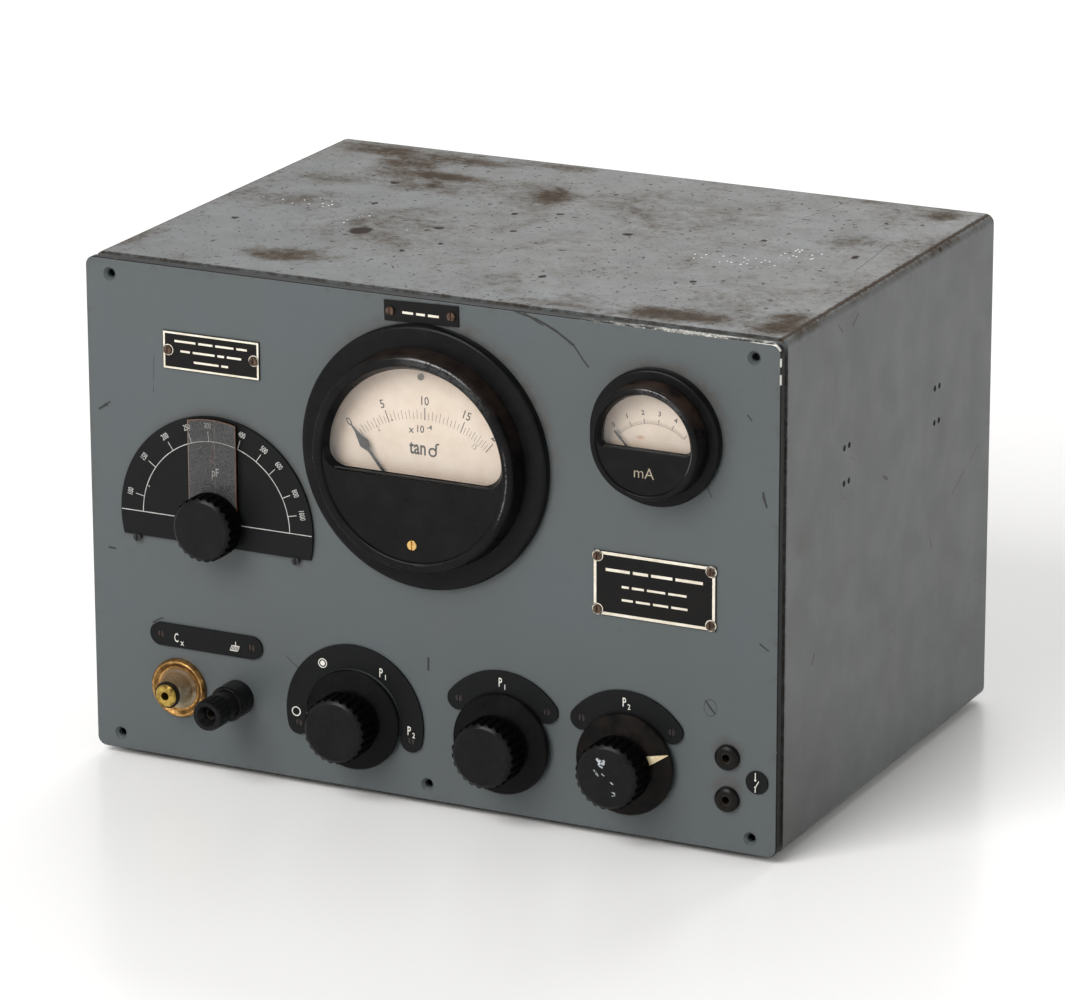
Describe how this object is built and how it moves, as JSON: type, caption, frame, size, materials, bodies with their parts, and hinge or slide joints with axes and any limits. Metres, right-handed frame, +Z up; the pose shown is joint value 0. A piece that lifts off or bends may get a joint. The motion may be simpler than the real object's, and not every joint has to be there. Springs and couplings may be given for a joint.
{
  "type": "lcr meter",
  "caption": "Bench bridge for sorting capacitors: steel case, slide-out front unit with two needle meters, tuning dial with cursor, three knobs, terminals and sockets.",
  "frame": {"origin": "on the floor under the middle of the bounding box, between the feet", "axes": "+X to the right along the front panel, +Y into the depth of the case, +Z up"},
  "size_m": [0.352, 0.282, 0.244],
  "materials": {
    "case_paint": "worn grey paint",
    "panel_paint": "satin blue-grey paint",
    "frame_steel": "grey primer",
    "chassis_metal": "dull",
    "gasket_felt": "matt black",
    "foot_rubber": "matt",
    "bakelite_black": "worn gloss",
    "bakelite_brown": "worn gloss",
    "label_black": "matt engraved",
    "plate_black": "etched black with an ivory rim",
    "dial_black": "satin black with white lines",
    "screw_dark": "browned",
    "steel_bright": "satin",
    "brass": "tarnished",
    "ceramic": "stained glaze",
    "meter_dial": "aged ivory",
    "meter_glass": "clear",
    "cursor_plastic": "aged clear plastic",
    "needle_black": "black",
    "can_metal": "dull",
    "valve_shell": "black crackle",
    "laminations": "varnished",
    "winding_wrap": "varnished paper",
    "magnet_grey": "ground",
    "phenolic": "laminate"
  },
  "bodies": {
    "case": {"case_shell": "case_paint", "case_front_frame": "frame_steel", "frame_bosses": "steel_bright", "case_feet": "foot_rubber", "chassis_runners": "frame_steel"},
    "front_unit": {"front_panel": "panel_paint", "panel_gasket": "gasket_felt", "maker_plate": "plate_black", "rating_plate": "plate_black", "inventory_plate": "plate_black", "plate_screws": "screw_dark", "terminal_label": "label_black", "selector_label": "label_black", "preset_labels": "label_black", "label_screws": "screw_dark", "capacitance_dial": "dial_black", "symbol_disc": "label_black", "main_meter_cover": "bakelite_black", "small_meter_cover": "bakelite_black", "meter_glasses": "meter_glass", "meter_dials": "meter_dial", "meter_cans": "can_metal", "meter_movements": "magnet_grey", "terminal_ring": "brass", "terminal_insulator": "ceramic", "terminal_washer": "bakelite_black", "terminal_socket": "brass", "post_base": "bakelite_black", "post_stem": "brass", "socket_collars": "bakelite_brown", "socket_sleeves": "brass", "shaft_bushes": "brass", "panel_nuts": "brass", "capacitor_stator": "can_metal", "capacitor_frame": "chassis_metal", "selector_wafers": "phenolic", "preset_pots": "can_metal", "chassis_sides": "chassis_metal", "chassis_deck": "chassis_metal", "valve_sockets": "bakelite_black", "valves": "valve_shell", "coil_can": "can_metal", "smoothing_capacitor": "can_metal", "transformer_core": "laminations", "transformer_winding": "winding_wrap", "mains_inlet": "bakelite_black"},
    "tuning_drive": {"tuning_knob": "bakelite_black", "tuning_cursor": "cursor_plastic", "tuning_rotor": "can_metal"},
    "selector_drive": {"selector_knob": "bakelite_black", "selector_shaft": "steel_bright"},
    "preset_1_drive": {"preset_1_knob": "bakelite_black", "preset_1_shaft": "steel_bright"},
    "preset_2_drive": {"preset_2_knob": "bakelite_black", "preset_2_shaft": "steel_bright"},
    "main_needle": {"main_needle": "needle_black"},
    "small_needle": {"small_needle": "needle_black"},
    "zero_screw": {"zero_screw": "brass"},
    "post_washer": {"post_washer": "brass"},
    "post_cap": {"post_cap": "bakelite_black"}
  },
  "joints": [
    {"name": "front_unit_slide", "type": "slide", "parent": "case", "child": "front_unit", "axis": [0, -1, 0], "range_m": [0, 0.2]},
    {"name": "tuning_turn", "type": "hinge", "parent": "front_unit", "child": "tuning_drive", "pos_m": [-0.1084, -0.111, 0.1236], "axis": [0, -1, 0], "range_deg": [-90, 90]},
    {"name": "selector_turn", "type": "hinge", "parent": "front_unit", "child": "selector_drive", "pos_m": [-0.0372, -0.111, 0.038], "axis": [0, -1, 0], "range_deg": [-180, 0]},
    {"name": "preset_1_turn", "type": "hinge", "parent": "front_unit", "child": "preset_1_drive", "pos_m": [0.0394, -0.111, 0.038], "axis": [0, -1, 0], "range_deg": [-275, 25]},
    {"name": "preset_2_turn", "type": "hinge", "parent": "front_unit", "child": "preset_2_drive", "pos_m": [0.102, -0.111, 0.038], "axis": [0, -1, 0], "range_deg": [-77.5, 222.5]},
    {"name": "main_needle_swing", "type": "hinge", "parent": "front_unit", "child": "main_needle", "pos_m": [0.001, -0.111, 0.1389], "axis": [0, -1, 0], "range_deg": [-82, 3], "stiffness_Nm_per_rad": 0.004},
    {"name": "small_needle_swing", "type": "hinge", "parent": "front_unit", "child": "small_needle", "pos_m": [0.1164, -0.111, 0.1773], "axis": [0, -1, 0], "range_deg": [-89, 3], "stiffness_Nm_per_rad": 0.001},
    {"name": "zero_screw_turn", "type": "hinge", "parent": "front_unit", "child": "zero_screw", "pos_m": [0.001, -0.111, 0.1315], "axis": [0, -1, 0], "range_deg": [-45, 45]},
    {"name": "post_lift", "type": "slide", "parent": "front_unit", "child": "post_washer", "axis": [0, -1, 0], "range_m": [0, 0.005]},
    {"name": "post_turn", "type": "hinge", "parent": "post_washer", "child": "post_cap", "pos_m": [-0.0995, -0.111, 0.0385], "axis": [0, -1, 0], "range_deg": [0, 1800]}
  ],
  "couplings": [
    {"joint": "post_lift", "follows": "post_turn", "m_per_rad": 0.00015915}
  ]
}
